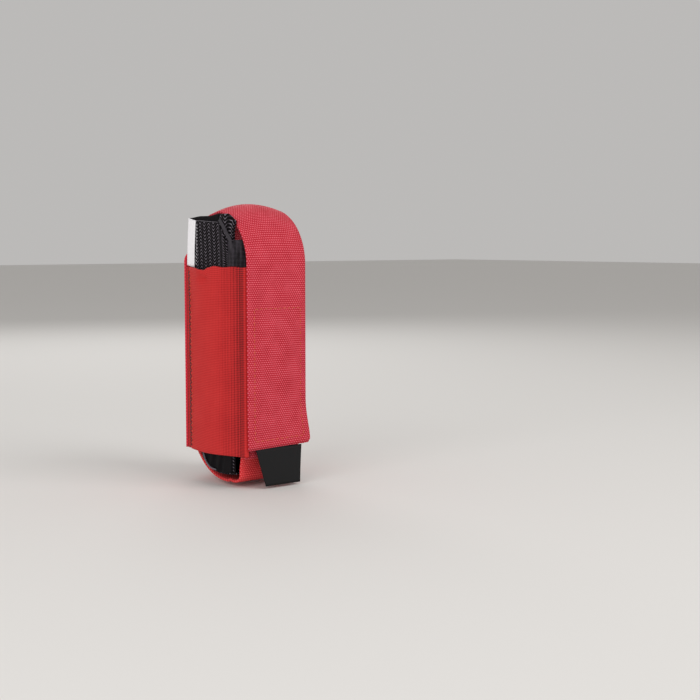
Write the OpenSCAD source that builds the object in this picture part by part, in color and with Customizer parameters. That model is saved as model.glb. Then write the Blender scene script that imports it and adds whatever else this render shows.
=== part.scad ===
// Slim one-column tourniquet pouch with a folded windlass tourniquet inside.
// +Z up, the flap faces -Y, width along X. The origin is the centre of the back panel's rear face.

/* [Pouch] */
// Width of the back panel, with its hems
back_w = 44.6; // [43:0.2:45]
// Width between the side elastics where they are sewn to the back
pouch_w = 40; // [40:0.2:41]
// Thickness of the back panel
back_t = 1.8; // [1.2:0.1:1.8]
// Half height of the elastic side panels above and below the origin
elastic_half_h = 52; // [48:1:54]
// Height of the back panel's top edge above the origin
back_top = 61; // [60:0.5:62]
// Thickness of the side elastic
elastic_t = 1.4; // [1:0.1:1.4]
// How far each side elastic bows out around the tourniquet
elastic_bow = 4; // [4:0.5:6]
// Depth from the back panel's rear face to the flap's outer face
pouch_depth = 61.4; // [61.4:0.2:64]

/* [Webbing] */
// Width of the flap, front and bottom loop webbing
webbing_w = 38; // [36:0.5:38]
// Thickness of that webbing
webbing_t = 1.6; // [1.2:0.1:1.6]
// How far the bottom loop hangs below the side elastic
loop_drop = 15; // [14:0.5:18]
// Height of the flap's lower edge below the origin
flap_drop = 46.5; // [44:0.5:48]

/* [Pull tab] */
// Width of the tab where it leaves the flap
tab_w_top = 31; // [26:1:34]
// Width of the tab at its free end
tab_w_end = 23.5; // [18:0.5:26]
// Length of the tab outside the flap
tab_len = 21; // [16:1:24]
// How far the tab stands to the right of the middle
tab_shift = 2.4; // [0:0.2:2.6]

/* [Carrier strap] */
// Width of the attachment strap
strap_w = 25.4; // [24:0.2:25.4]
// Thickness of the attachment strap
strap_t = 1.2; // [1:0.1:1.2]
// Distance between neighbouring rows of the carrier grid
row_pitch = 25.4; // [25.4]
// Room between the back panel and the strap for a carrier row
row_gap = 2; // [1.8:0.1:2]

/* [Tourniquet] */
// Width of the main band
band_w = 38; // [36:0.5:38]
// Thickness of one layer of the band
band_t = 0.9; // [0.7:0.1:0.9]
// Height of the band's outer fold above the origin
band_top = 80; // [76:1:81]
// Height of the inner folds above the origin
stack_top = 60; // [54:1:60]
// Height of the lowest folds below the origin
stack_bottom = 61; // [56:1:61]
// Width of the writing strip
strip_h = 26.5; // [24:0.5:26.5]
// Diameter of the windlass rod
rod_d = 9.5; // [8:0.5:10]
// Length of the windlass rod
rod_len = 112; // [100:1:114]

/* [Hidden] */
$fn = 64;
red = "#cc2e45";
deep_red = "#b81830";
elastic_red = "#c82a2c";
black = "#1c191b";
grey = "#3a383c";
white = "#f2f0f4";

// Clearances
ply_gap = 0.1;   // between two sewn plies
body_gap = 0.3;  // between two bodies that move apart

// Layers through the back, from the rear face forwards
flange_t = 1.2;
flange_w = 7;
tail_back = -back_t - ply_gap - flange_t - ply_gap;
tail_front = tail_back - webbing_t;

// Layers through the front, from the flap's outer face backwards
flap_inner = -pouch_depth + webbing_t;
patch_t = 0.8;
hook_inner = flap_inner + ply_gap + patch_t;
loop_outer = hook_inner + body_gap;
loop_inner = loop_outer + patch_t;
front_outer = loop_inner + ply_gap;
front_inner = front_outer + webbing_t;
side_front = front_inner + ply_gap;
side_back = -back_t - ply_gap;
side_mid = (side_front + side_back) / 2;
side_half = (side_back - side_front) / 2;
wall_x = pouch_w / 2;
bow_r = (side_half * side_half + elastic_bow * elastic_bow) / (2 * elastic_bow);

// Flap arch, a half circle over the pouch mouth
arch_r = (pouch_depth + tail_back) / 2;
arch_y = -pouch_depth + arch_r;
arch_z = elastic_half_h + 2;
bend_1 = 16;   // angle of the root bend, from the rear end of the arch
bend_2 = 60;   // angle of the crown bend
bend_3 = 125;  // angle of the front bend
bend_gap = 0.8;

// Bottom loop profile
loop_r = 34;
loop_y = -36;
loop_tail = 10;

// Carrier strap levels and rows
strap_in = 0.2;
strap_out = row_gap;
row_h = 23;
upper_row = 30.5;
own_row = upper_row - row_pitch;
lower_row = own_row - row_pitch;
tail_split = lower_row + row_h / 2 + 0.2;  // height of the fold where the tail opens
tail_end = -50;
snap_z = -42;

// Tourniquet stack, from the left fold to the right
lobe_pitch = band_t + 0.2;
lobe_x = -21.3 + band_t / 2;
band_y = -30.4;
inner_x = -17.3;
inner_runs = 4;
inner_pitch = 2 * band_t;
right_x = 15.6;
right_runs = 2;
right_pitch = 2.4 * band_t;
plate_x = -9.8;
plate_t = 1.8;
clip_x = plate_x + plate_t + ply_gap;
clip_t = 2;
clip_y0 = -52.7;
clip_y1 = -8.4;
clip_low = 24;
clip_top = 52;
shoulder_top = 66;
rod_x = 3;
strip_y0 = -11;
strip_y1 = -3;

module slab(x0, x1, y0, y1, z0, z1) {
  translate([x0, y0, z0]) cube([x1 - x0, y1 - y0, z1 - z0]);
}

// A flat outline in the Y-Z plane, given as [y, z], pushed along X and centred
module across_x(width) {
  rotate([90, 0, 90]) translate([0, 0, -width / 2]) linear_extrude(width) children();
}

// A flat outline in the X-Z plane, given as [x, z], pushed along Y from y0 to y1
module along_y(y0, y1) {
  translate([0, y1, 0]) rotate([90, 0, 0]) linear_extrude(y1 - y0) children();
}

// A wedge that keeps the angles from a0 to a1 of a circle
module wedge(a0, a1, r) {
  am = (a0 + a1) / 2;
  polygon([[0, 0], for (a = [a0, am, a1]) [2 * r * cos(a), 2 * r * sin(a)]]);
}

// Part of a round webbing bend: 0 is the rear of the arch, 180 its front
module arch_span(a0, a1) {
  translate([arch_y, arch_z]) intersection() {
    difference() {
      circle(r = arch_r, $fn = 128);
      circle(r = arch_r - webbing_t, $fn = 128);
    }
    wedge(a0, a1, arch_r);
  }
}

// A stadium, used for the half turns of the band
module half_turn(x, z, pitch, up) {
  translate([x, z]) intersection() {
    difference() {
      circle(d = pitch + band_t, $fn = 32);
      circle(d = pitch - band_t, $fn = 32);
    }
    translate([-pitch, up ? 0 : -2 * pitch]) square([2 * pitch, 2 * pitch]);
  }
}

module rounded_rect(w, h, r) {
  hull() for (x = [-1, 1], y = [-1, 1]) translate([x * (w / 2 - r), y * (h / 2 - r)]) circle(r, $fn = 32);
}

// ---- Pouch ----

module back_panel() {
  corner = 6;
  bottom = -elastic_half_h;
  color(deep_red) along_y(-back_t, 0) difference() {
    union() {
      translate([-back_w / 2, bottom]) square([back_w, back_top - corner - bottom]);
      translate([-back_w / 2 + corner, bottom]) square([back_w - 2 * corner, back_top - bottom]);
      for (x = [-1, 1]) translate([x * (back_w / 2 - corner), back_top - corner]) circle(corner);
    }
    translate([0, snap_z]) circle(1.6);
  }
}

module flap_root() {
  root_len = 20;
  color(red) across_x(webbing_w) {
    translate([tail_front, arch_z - root_len]) square([webbing_t, root_len]);
    arch_span(0, bend_1 - bend_gap);
  }
}

module elastic_panel() {
  inner = wall_x;
  color(elastic_red) translate([0, 0, -elastic_half_h]) linear_extrude(2 * elastic_half_h) {
    // bowed wall
    translate([-inner, side_mid]) intersection() {
      translate([bow_r - elastic_bow, 0]) difference() {
        circle(r = bow_r + elastic_t, $fn = 256);
        circle(r = bow_r, $fn = 256);
      }
      translate([-elastic_bow - 2 * elastic_t, -side_half]) square([elastic_bow + 3 * elastic_t, 2 * side_half]);
    }
    // flanges sewn to the back and front
    translate([-inner - elastic_t / 2, side_back - flange_t]) square([flange_w, flange_t]);
    translate([-inner - elastic_t / 2, side_front]) square([flange_w, flange_t]);
  }
}

module left_elastic_panel() {
  elastic_panel();
}

module right_elastic_panel() {
  mirror([1, 0, 0]) elastic_panel();
}

module front_panel() {
  color(red) slab(-webbing_w / 2, webbing_w / 2, front_outer, front_inner, -elastic_half_h, elastic_half_h);
}

// Region inside the loop: a large round at the back, square at the front
module loop_region(inset) {
  front = side_front + flange_t + ply_gap;
  low = -elastic_half_h - loop_drop;
  intersection() {
    translate([loop_y, low + loop_r]) circle(loop_r - inset, $fn = 160);
    translate([front + inset, low]) square([tail_back - front - 2 * inset, loop_drop + loop_tail]);
  }
}

module bottom_loop() {
  color(red) across_x(webbing_w) difference() {
    loop_region(0);
    loop_region(webbing_t);
    translate([-pouch_depth, -elastic_half_h + loop_tail]) square([pouch_depth, loop_tail]);
    translate([loop_y - 14, -elastic_half_h]) square([28, 3 * loop_tail]);
  }
}

module front_loop_patch() {
  color(elastic_red) slab(-16, 16, loop_outer, loop_inner, -40, 24);
}

module grid_webbing() {
  // the pouch's own carrier row, a low bridge that the strap runs under
  rise = strap_in + strap_t + 0.2;
  leg = 6;
  color(deep_red) translate([0, 0, own_row - row_h / 2]) linear_extrude(row_h) difference() {
    polygon([
      [-20, 0], [-20, 0.9], [-20 + leg, 0.9], [-13.2, rise + 1.2], [13.2, rise + 1.2],
      [20 - leg, 0.9], [20, 0.9], [20, 0]
    ]);
    translate([-12.9, -1]) square([25.8, 1 + rise]);
  }
}

// Side outline of the strap from z0 up to z1, in the Y-Z plane, at one level
module strap_run(z0, z1, level) {
  translate([level, z0]) square([strap_t, z1 - z0]);
}

module strap_step(z0, y0, z1, y1) {
  polygon([[y0, z0], [y0 + strap_t, z0], [y1 + strap_t, z1], [y1, z1]]);
}

module carrier_strap_upper() {
  step = 2.4;
  row_top = upper_row + row_h / 2;
  row_low = upper_row - row_h / 2;
  own_low = own_row - row_h / 2;
  color(black) across_x(strap_w) {
    translate([0, row_top + step]) square([strap_t, 14]);
    strap_step(row_top, strap_out, row_top + step, 0);
    strap_run(row_low, row_top, strap_out);
    strap_step(row_low - step, strap_in, row_low, strap_out);
    strap_run(own_low, row_low - step, strap_in);
    strap_step(own_low - step, strap_out, own_low, strap_in);
  }
}

module carrier_strap_tail() {
  color(black) difference() {
    union() {
      slab(-strap_w / 2, strap_w / 2, strap_out, strap_out + strap_t + 0.8, tail_end + 6, tail_split - 0.8);
      translate([0, strap_out + strap_t + 0.8, tail_end + 6]) rotate([90, 0, 0])
        cylinder(d = strap_w, h = strap_t + 0.8);
    }
    slab(-9, 9, strap_out + 0.5, strap_out + 1.5, snap_z + 6, tail_split - 6);
    translate([0, strap_out + 3, snap_z]) rotate([90, 0, 0]) cylinder(r = 1.6, h = 4);
  }
}

module strap_stiffener() {
  color(white) slab(-8.9, 8.9, strap_out + 0.55, strap_out + 1.45, snap_z + 6.1, tail_split - 6.1);
}

// Turned snap parts share one axis, square to the back panel
module snap_axis() {
  translate([0, 0, snap_z]) rotate([-90, 0, 0]) children();
}

module snap_stud() {
  color(grey) snap_axis() {
    cylinder(r = 5.5, h = 0.5);
    cylinder(r = 2.2, h = 1.2);
  }
}

module snap_post() {
  color(grey) snap_axis() {
    translate([0, 0, -back_t]) cylinder(r = 1.5, h = back_t);
    translate([0, 0, -back_t - 0.6]) cylinder(r = 5, h = 0.6);
  }
}

module snap_socket() {
  color(grey) snap_axis() difference() {
    translate([0, 0, 0.9]) cylinder(r = 5, h = strap_out - 0.9);
    translate([0, 0, 0.8]) cylinder(r = 2.5, h = 0.8);
  }
}

module snap_cap() {
  face = strap_out + strap_t + 0.8;
  color(grey) snap_axis() {
    translate([0, 0, face]) rotate_extrude() polygon([[0, 0], [7.5, 0], [7.5, 0.4], [5.5, 1.2], [0, 1.5]]);
    translate([0, 0, strap_out]) cylinder(r = 1.5, h = face - strap_out);
  }
}

module sewn_bartacks() {
  // raised bar tacks: strap anchor, carrier row ends and loop ends
  anchor = upper_row + row_h / 2 + 2.4;
  color(deep_red) {
    for (dz = [3, 11]) slab(-11, 11, strap_t, strap_t + 0.5, anchor + dz, anchor + dz + 1.6);
    for (x = [-1, 1]) slab(x * 17.5 - 0.8, x * 17.5 + 0.8, 0.9, 1.4, own_row - 10, own_row + 10);
  }
}

// ---- Flap ----

module flap_rear_span() {
  color(red) across_x(webbing_w) arch_span(bend_1 + bend_gap, bend_2 - bend_gap);
}

module flap_crown_span() {
  color(red) across_x(webbing_w) arch_span(bend_2 + bend_gap, bend_3 - bend_gap);
}

module flap_front_span() {
  color(red) across_x(webbing_w) {
    arch_span(bend_3 + bend_gap, 180);
    translate([-pouch_depth, -flap_drop]) square([webbing_t, arch_z + flap_drop]);
  }
}

module flap_hook_patch() {
  color(black) slab(-16, 16, hook_inner - patch_t, hook_inner, -43, 29);
}

module pull_tab() {
  top = -flap_drop - body_gap;
  slant = 1.2;
  color(black) along_y(-pouch_depth + 0.3, -pouch_depth + 1.5) polygon([
    [tab_shift - slant - tab_w_top / 2, top], [tab_shift - slant + tab_w_top / 2, top],
    [tab_shift + slant + tab_w_end / 2, top - tab_len], [tab_shift + slant - tab_w_end / 2, top - tab_len]
  ]);
}

// ---- Tourniquet ----

// Outline of the folded stack seen from the side, rounded below to sit in the bottom loop
module stack_side() {
  top = band_top + 2;
  translate([loop_y, -elastic_half_h - loop_drop + loop_r]) circle(loop_r - webbing_t - 0.4, $fn = 160);
  translate([clip_y0, -46]) square([clip_y1 - clip_y0, top + 46]);
}

// The band folded up and down, seen from the front
module main_band() {
  color(black) intersection() {
    along_y(band_y - band_w / 2, band_y + band_w / 2) band_folds();
    across_x(2 * back_w) stack_side();
  }
}

// Layers of equal height, joined by half turns at the top and bottom in turn
module fold_group(x, runs, pitch, low, high) {
  for (i = [0:runs - 1]) translate([x + i * pitch - band_t / 2, low]) square([band_t, high - low]);
  for (i = [0:2:runs - 2]) half_turn(x + (i + 0.5) * pitch, high, pitch, true);
  for (i = [1:2:runs - 2]) half_turn(x + (i + 0.5) * pitch, low, pitch, false);
}

module band_folds() {
  low = -stack_bottom + 2;
  high = stack_top - 2;
  // the outer fold on the left is taller than the rest
  fold_group(lobe_x, 2, lobe_pitch, low, band_top - 2);
  link_turn(lobe_x + lobe_pitch, inner_x, low);
  fold_group(inner_x, inner_runs, inner_pitch, low, high);
  // the long turn under the windlass leads to the folds on the right
  link_turn(inner_x + (inner_runs - 1) * inner_pitch, right_x, low);
  fold_group(right_x, right_runs, right_pitch, low, high);
}

// A square turn that carries the band from one run to another further off
module link_turn(x0, x1, z) {
  translate([x0 - band_t / 2, z - band_t]) square([x1 - x0 + band_t, band_t]);
}

module band_end_tab() {
  x = right_x + (right_runs - 1) * right_pitch + band_t / 2;
  color(grey) slab(x, x + 0.8, band_y - 16, band_y + 16, -46, -24);
}

// The pulling tape where it crosses the outer fold
module tension_tape() {
  x = lobe_x - band_t / 2;
  color(grey) translate([x - 0.6, 0, 0]) rotate([90, 0, 90]) linear_extrude(0.6)
    polygon([[-33.4, 78], [-37, 78], [-48.4, 56], [-48.4, 53], [-44, 53], [-44, 57]]);
}

// The same tape lying on the base plate and passing through the windlass rod
module tape_core() {
  run_x = clip_x + 0.8;
  color(grey) {
    slab(clip_x, run_x, band_y - 12, band_y + 12, -40, clip_low - 1);
    slab(run_x, rod_x + rod_d / 2 + 1.4, band_y - 0.5, band_y + 0.5, -6, 6);
  }
}

module base_plate() {
  plate_z = 4;
  color(grey) translate([plate_x, band_y, plate_z]) rotate([90, 0, 90]) linear_extrude(plate_t) difference() {
    rounded_rect(36, 104, 6);
    for (s = [-1, 1]) translate([0, s * 46]) square([26, 3], center = true);
  }
}

module windlass_rod() {
  rib = 1.2;
  ribs = 5;
  color(black) translate([rod_x, band_y, -rod_len / 2]) difference() {
    union() {
      cylinder(d = rod_d - 0.8, h = rod_len);
      for (end = [0, 1], i = [0:ribs - 1])
        translate([0, 0, end * (rod_len - 2 * ribs * rib) + 2 * i * rib + rib / 2]) cylinder(d = rod_d, h = rib);
      translate([0, 0, rod_len / 2 - 9]) cylinder(d = rod_d, h = 18);
    }
    translate([-rod_d, -0.7, rod_len / 2 - 6.5]) cube([2 * rod_d, 1.4, 13]);
  }
}

module windlass_clip() {
  hook_x1 = rod_x + rod_d / 2 + 4;
  hook_t = 2.2;
  lip = 9;
  color(black) {
    slab(clip_x, clip_x + clip_t, clip_y0, clip_y1, clip_low, clip_top);
    // front hook, rear hook and their lips over the rod
    slab(clip_x, hook_x1, clip_y0, clip_y0 + hook_t, clip_low, clip_top);
    slab(clip_x, hook_x1, clip_y1 - hook_t, clip_y1, clip_low, clip_top);
    slab(hook_x1 - hook_t, hook_x1, clip_y0, clip_y0 + lip, clip_low, clip_top);
    slab(hook_x1 - hook_t, hook_x1, clip_y1 - lip, clip_y1, clip_low, clip_top);
    // the raised shoulder beside the outer fold
    slab(inner_x - 1.5, clip_x, clip_y0, clip_y0 + 2.4, clip_low, shoulder_top);
    slab(clip_x, hook_x1, clip_y0, clip_y0 + 2.4, clip_top, shoulder_top);
  }
}

module buckle() {
  x = rod_x + rod_d / 2 + 3;
  color(black) translate([x, band_y + 0.6, -19]) rotate([90, 0, 90]) linear_extrude(3.4) difference() {
    rounded_rect(43, 36, 4);
    for (s = [-1, 1]) translate([0, s * 8.5]) square([36, 7.5], center = true);
  }
}

// Dark pad that the writing strip is sewn to, along the rear edge of the outer fold
module clip_hook_pad() {
  color(black) slab(-20.5, -19.4, band_y + band_w / 2, -5.2, 30, 78);
}

module time_strap() {
  x = lobe_x - band_t / 2 - body_gap;
  color(white) slab(x - 0.8, x, strip_y0, strip_y1, 53, 53 + strip_h);
}

back_panel();
flap_root();
left_elastic_panel();
right_elastic_panel();
front_panel();
bottom_loop();
front_loop_patch();
grid_webbing();
carrier_strap_upper();
snap_stud();
snap_post();
sewn_bartacks();
carrier_strap_tail();
strap_stiffener();
snap_socket();
snap_cap();
flap_rear_span();
flap_crown_span();
flap_front_span();
flap_hook_patch();
pull_tab();
main_band();
band_end_tab();
tension_tape();
tape_core();
base_plate();
windlass_rod();
windlass_clip();
buckle();
clip_hook_pad();
time_strap();
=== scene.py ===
import math

import bpy
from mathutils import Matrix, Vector


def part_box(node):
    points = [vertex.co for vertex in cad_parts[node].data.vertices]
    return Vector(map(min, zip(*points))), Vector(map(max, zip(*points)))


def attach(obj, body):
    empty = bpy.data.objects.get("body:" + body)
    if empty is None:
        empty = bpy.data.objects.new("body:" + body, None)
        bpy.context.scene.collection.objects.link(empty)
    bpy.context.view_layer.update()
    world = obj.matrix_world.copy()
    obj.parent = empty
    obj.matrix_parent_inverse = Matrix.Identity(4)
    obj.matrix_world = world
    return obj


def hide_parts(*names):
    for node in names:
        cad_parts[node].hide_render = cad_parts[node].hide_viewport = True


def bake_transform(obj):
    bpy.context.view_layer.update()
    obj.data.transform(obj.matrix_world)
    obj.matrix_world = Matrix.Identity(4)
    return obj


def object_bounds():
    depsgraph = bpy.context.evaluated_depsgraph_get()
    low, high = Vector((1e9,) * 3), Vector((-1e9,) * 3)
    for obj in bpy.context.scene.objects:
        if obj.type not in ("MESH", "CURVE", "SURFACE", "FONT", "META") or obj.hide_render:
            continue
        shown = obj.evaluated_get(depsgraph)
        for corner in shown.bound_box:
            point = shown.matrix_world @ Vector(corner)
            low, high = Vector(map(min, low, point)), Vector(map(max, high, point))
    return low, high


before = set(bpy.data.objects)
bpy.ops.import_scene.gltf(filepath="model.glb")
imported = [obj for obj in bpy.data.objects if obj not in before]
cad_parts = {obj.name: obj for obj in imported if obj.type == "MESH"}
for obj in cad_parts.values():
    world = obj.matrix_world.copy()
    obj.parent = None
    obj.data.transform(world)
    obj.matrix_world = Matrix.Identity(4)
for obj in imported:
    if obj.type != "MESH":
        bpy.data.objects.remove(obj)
cad_low, cad_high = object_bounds()

# Lengths below are millimetres, in the row frame: +Z up, the flap faces -Y.
MM = 0.001

# ---- Sizes taken from the frame ----


def box(node):
    """The lowest and highest corners of a CAD node, in millimetres."""
    low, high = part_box(node)
    return low / MM, high / MM


def corner(node, which):
    """The lowest (0) or highest (1) corner of a CAD node."""
    return box(node)[which]


FRONT = corner("flap_front_span", 0).y            # outer face of the flap
TAIL_BACK = corner("flap_root", 1).y              # rear face of the flap's sewn end
WEB_W = corner("flap_front_span", 1).x * 2
FLAP_W = WEB_W + 1.2                              # the flap's selvages stand a little proud
WEB_T = 1.6
ARCH_R = (TAIL_BACK - FRONT) / 2                  # outer radius of the flap's arch
ARCH_Y = FRONT + ARCH_R
ARCH_Z = corner("flap_crown_span", 1).z - ARCH_R
FLAP_LOW = corner("flap_front_span", 0).z
ROOT_LOW = corner("flap_root", 0).z
PANEL_H = corner("left_elastic_panel", 1).z       # half height of the elastic
BACK_W = corner("back_panel", 1).x * 2 - 1.2      # its hems are rolled in a little
LOBE_X = corner("main_band", 0).x
BAND_REAR = corner("main_band", 1).y
BAND_FRONT = corner("main_band", 0).y
BAND_TOP = corner("main_band", 1).z
BAND_LOW = corner("main_band", 0).z

# ---- Small helpers ----


def smooth(a, b, x):
    """0 before a, 1 after b, and an even ease between."""
    t = min(1.0, max(0.0, (x - a) / (b - a)))
    return t * t * (3 - 2 * t)


def hump(x, middle, width):
    return math.exp(-((x - middle) / width) ** 2)


def profile(knots, x):
    """A smooth height between (place, height) pairs that run towards -Y."""
    for (a, high_a), (b, high_b) in zip(knots, knots[1:]):
        if x >= b:
            return high_a + (high_b - high_a) * smooth(a, b, x)
    return knots[-1][1]


def colour(code):
    """A linear colour from a hex code."""
    parts = [int(code[i:i + 2], 16) / 255 for i in (1, 3, 5)]
    return [c / 12.92 if c < 0.04045 else ((c + 0.055) / 1.055) ** 2.4 for c in parts] + [1.0]


def lengths(path):
    """How far along the path each of its points is."""
    run = [0.0]
    for a, b in zip(path, path[1:]):
        run.append(run[-1] + (b - a).length)
    return run


def curve_through(points, steps):
    """A smooth line through a few points, with steps points between each two."""
    ends = [points[0] * 2 - points[1]] + points + [points[-1] * 2 - points[-2]]
    line = []
    for a, b, c, d in zip(ends, ends[1:], ends[2:], ends[3:]):
        for i in range(steps):
            t = i / steps
            line.append(0.5 * (b * 2 + (c - a) * t + (a * 2 - b * 5 + c * 4 - d) * t * t
                               + (b * 3 - a - c * 3 + d) * t ** 3))
    return line + [points[-1]]


def straight(a, b, step):
    """Points from a to b, about step apart."""
    count = max(1, round((b - a).length / step))
    return [a.lerp(b, i / count) for i in range(count + 1)]


def upright(x, y, z0, z1, step):
    """A straight run of points from one height to another."""
    return straight(Vector((x, y, z0)), Vector((x, y, z1)), step)


def joined(*runs):
    """Runs of points as one line, without repeated points."""
    line = list(runs[0])
    for run in runs[1:]:
        line += [p for i, p in enumerate(run) if i or (p - line[-1]).length > 0.05]
    return line


def add_object(name, data):
    thing = bpy.data.objects.new(name, data)
    bpy.context.scene.collection.objects.link(thing)
    return thing


def new_piece(name, points, faces, uvs, material):
    """A mesh object from points in millimetres, with a flat map in metres for its weave."""
    data = bpy.data.meshes.new(name)
    data.from_pydata([p * MM for p in points], [], faces)
    flat = data.uv_layers.new(name="cloth")
    for loop in data.loops:
        flat.data[loop.index].uv = (uvs[loop.vertex_index][0] * MM, uvs[loop.vertex_index][1] * MM)
    data.polygons.foreach_set("use_smooth", [True] * len(data.polygons))
    data.materials.append(material)
    data.update()
    return add_object(name, data)


def ribbon(name, path, across, width, thick, material, columns=16, warp=None, start=0.0):
    """A strip whose middle follows path and which is width wide along across, with rounded edges.

    width may be a function of the distance along the path. warp(point, x, run) moves a point of the
    middle surface, where x is its place across and run the distance along. start offsets the map."""
    across = Vector(across).normalized()
    run = lengths(path)
    points, uvs = [], []
    for i, middle in enumerate(path):
        wide = width(run[i]) if callable(width) else width
        ahead = path[min(i + 1, len(path) - 1)] - path[max(i - 1, 0)]
        normal = across.cross(ahead).normalized()
        rounding = min(0.5 * thick, 0.2 * wide)
        edge = [(-wide / 2, 0.0), (-wide / 2 + 0.3 * rounding, 0.7), (-wide / 2 + rounding, 1.0)]
        inner = wide - 2 * rounding
        top = edge + [(-wide / 2 + rounding + inner * k / columns, 1.0) for k in range(1, columns)]
        top += [(-x, h) for x, h in reversed(edge)]
        ring = top + [(x, -h) for x, h in reversed(top[1:-1])]
        for x, h in ring:
            at = middle + across * x
            if warp:
                at = warp(at, x, run[i])
            points.append(at + normal * (h * thick / 2))
            uvs.append((x, run[i] + start))
    size = len(ring)
    faces = []
    for i in range(len(path) - 1):
        for k in range(size):
            a, b = i * size + k, i * size + (k + 1) % size
            faces.append((a, b, b + size, a + size))
    for base, flip in ((0, True), ((len(path) - 1) * size, False)):
        for k in range(len(top) - 1):
            low_a, low_b = (size - k) % size, (size - k - 1) % size
            cap = [base + i for i in (k, k + 1, low_b, low_a)]
            cap = list(dict.fromkeys(cap))
            faces.append(tuple(reversed(cap)) if flip else tuple(cap))
    return new_piece(name, points, faces, uvs, material)


def tubes(name, lines, radius, material, sides=6):
    """Round threads along several lines, as one piece, each closed at its ends."""
    points, faces, uvs = [], [], []
    for line in lines:
        run = lengths(line)
        base = len(points)
        for i, middle in enumerate(line):
            ahead = (line[min(i + 1, len(line) - 1)] - line[max(i - 1, 0)]).normalized()
            aside = ahead.orthogonal().normalized()
            other = ahead.cross(aside)
            slim = 0.45 if i in (0, len(line) - 1) else 1.0
            for k in range(sides):
                turn = 2 * math.pi * k / sides
                points.append(middle + (aside * math.cos(turn) + other * math.sin(turn)) * radius * slim)
                uvs.append((radius * turn, run[i]))
        for i in range(len(line) - 1):
            for k in range(sides):
                a, b = base + i * sides + k, base + i * sides + (k + 1) % sides
                faces.append((a, b, b + sides, a + sides))
        faces.append(tuple(base + k for k in reversed(range(sides))))
        faces.append(tuple(base + (len(line) - 1) * sides + k for k in range(sides)))
    return new_piece(name, points, faces, uvs, material)


def stitch_lines(path, outward, stitch=2.4, gap=1.0, lift=0.28):
    """Short thread arches along a line that lies on a cloth's face."""
    run = lengths(path)

    def at(distance):
        for i in range(len(run) - 1):
            if distance <= run[i + 1]:
                share = (distance - run[i]) / max(run[i + 1] - run[i], 1e-9)
                return path[i].lerp(path[i + 1], share)
        return path[-1]

    outward = Vector(outward)
    count = int((run[-1] + gap) / (stitch + gap))
    pitch = run[-1] / max(count, 1)
    lines = []
    for i in range(count):
        begin = i * pitch + gap / 2
        rises = (-0.25, 0.8 * lift, lift, 0.8 * lift, -0.25)
        lines.append([at(begin + (pitch - gap) * k / 4) + outward * rise for k, rise in enumerate(rises)])
    return lines


# ---- Materials ----


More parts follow.
